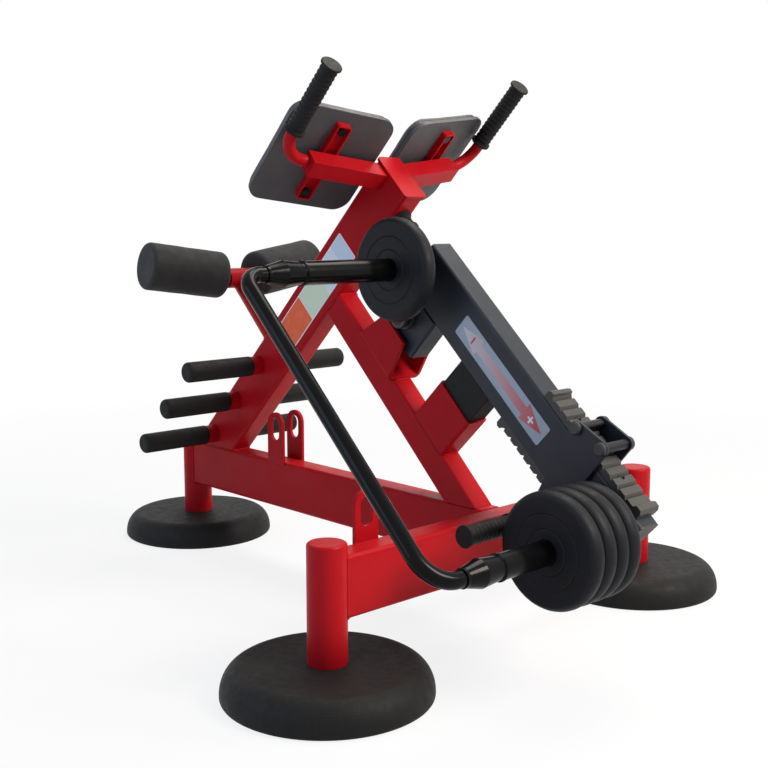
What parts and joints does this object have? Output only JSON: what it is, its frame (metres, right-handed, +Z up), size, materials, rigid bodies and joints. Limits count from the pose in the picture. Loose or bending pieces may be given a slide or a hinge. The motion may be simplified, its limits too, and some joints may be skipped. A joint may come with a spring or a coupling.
{
  "type": "hyperextension machine",
  "caption": "Outdoor hyperextension bench with split pads, foam heel rollers, a sloped column and a swinging lever with captive weight plates.",
  "frame": {"origin": "on the floor under the middle of the whole machine's box", "axes": "+X from the back foot towards the two front feet, +Y to the left of a user who faces +X, +Z up"},
  "size_m": [1.731, 1.36, 1.1873],
  "materials": {
    "red_paint": "semi-gloss powder coat",
    "dark_paint": "satin anthracite powder coat",
    "black_gloss_paint": "gloss black paint",
    "black_rubber": "matte rubber",
    "roller_foam": "skinned foam rubber",
    "pad_rubber": "soft grained rubber",
    "weight_rubber": "matte rubber coat over an iron core",
    "black_plastic": "matte",
    "plated_steel": "zinc plated",
    "black_steel": "blackened"
  },
  "bodies": {
    "frame": {"long_beam": "red_paint", "cross_beam": "red_paint", "post_back": "red_paint", "post_right": "red_paint", "post_left": "red_paint", "foot_back": "black_rubber", "foot_right": "black_rubber", "foot_left": "black_rubber", "column": "red_paint", "column_cap": "red_paint", "strut": "red_paint", "pivot_bracket": "red_paint", "pivot_shaft": "black_steel", "pivot_nuts": "black_plastic", "stop_bracket": "red_paint", "stop_block": "black_rubber", "column_bumper": "black_rubber", "band_eyelets": "red_paint", "peg_bars": "red_paint", "peg_sleeves_right": "black_rubber", "peg_sleeves_left": "black_rubber", "roller_arm": "red_paint", "roller_hub": "red_paint", "roller_axles": "plated_steel", "pad_cross_tube": "red_paint", "handle_tubes": "red_paint", "handle_grips": "black_rubber", "pad_channels": "red_paint", "pad_bolts": "black_steel", "pad_board_right": "pad_rubber", "pad_board_left": "pad_rubber", "pad_right": "pad_rubber", "pad_left": "pad_rubber"},
    "lever": {"lever_tube": "dark_paint", "lever_end_caps": "black_plastic", "pivot_housing": "dark_paint", "pivot_bushes": "black_plastic", "rack_top": "dark_paint", "rack_bottom": "dark_paint", "rack_screws": "black_steel", "weight_bar": "black_gloss_paint", "weight_sleeves": "black_gloss_paint", "weight_collars": "black_gloss_paint"},
    "carriage": {"carriage_plates": "dark_paint", "carriage_rods": "black_steel", "carriage_cap_nuts": "black_plastic", "carriage_handle": "dark_paint", "carriage_grips": "black_rubber"},
    "parked_plate": {"weight_plate_parked": "weight_rubber"},
    "plate_1": {"weight_plate_1": "weight_rubber"},
    "plate_2": {"weight_plate_2": "weight_rubber"},
    "plate_3": {"weight_plate_3": "weight_rubber"},
    "plate_4": {"weight_plate_4": "weight_rubber"},
    "roller_right": {"roller_core_right": "black_plastic", "roller_foam_right": "roller_foam"},
    "roller_left": {"roller_core_left": "black_plastic", "roller_foam_left": "roller_foam"}
  },
  "joints": [
    {"name": "lever_hinge", "type": "hinge", "parent": "frame", "child": "lever", "pos_m": [0.20941, 0, 0.65851], "axis": [0, -1, 0], "range_deg": [0, 72]},
    {"name": "carriage_slide", "type": "slide", "parent": "lever", "child": "carriage", "axis": [0.7254, 0, -0.6884], "range_m": [-0.072, 0.004]},
    {"name": "parked_plate_slide", "type": "slide", "parent": "lever", "child": "parked_plate", "axis": [0, -1, 0], "range_m": [-0.0227, 0.2307]},
    {"name": "plate_1_slide", "type": "slide", "parent": "lever", "child": "plate_1", "axis": [0, -1, 0], "range_m": [0, 0.0317]},
    {"name": "plate_2_slide", "type": "slide", "parent": "plate_1", "child": "plate_2", "axis": [0, -1, 0], "range_m": [0, 0.0317]},
    {"name": "plate_3_slide", "type": "slide", "parent": "plate_2", "child": "plate_3", "axis": [0, -1, 0], "range_m": [0, 0.0317]},
    {"name": "plate_4_slide", "type": "slide", "parent": "plate_3", "child": "plate_4", "axis": [0, -1, 0], "range_m": [0, 0.0317]},
    {"name": "roller_right_spin", "type": "hinge", "parent": "frame", "child": "roller_right", "pos_m": [-0.47155, -0.15635, 0.74338], "axis": [-0.1398, -0.9803, 0.1398], "continuous": true},
    {"name": "roller_left_spin", "type": "hinge", "parent": "frame", "child": "roller_left", "pos_m": [-0.47155, 0.15635, 0.74338], "axis": [-0.1398, 0.9803, 0.1398], "continuous": true}
  ]
}
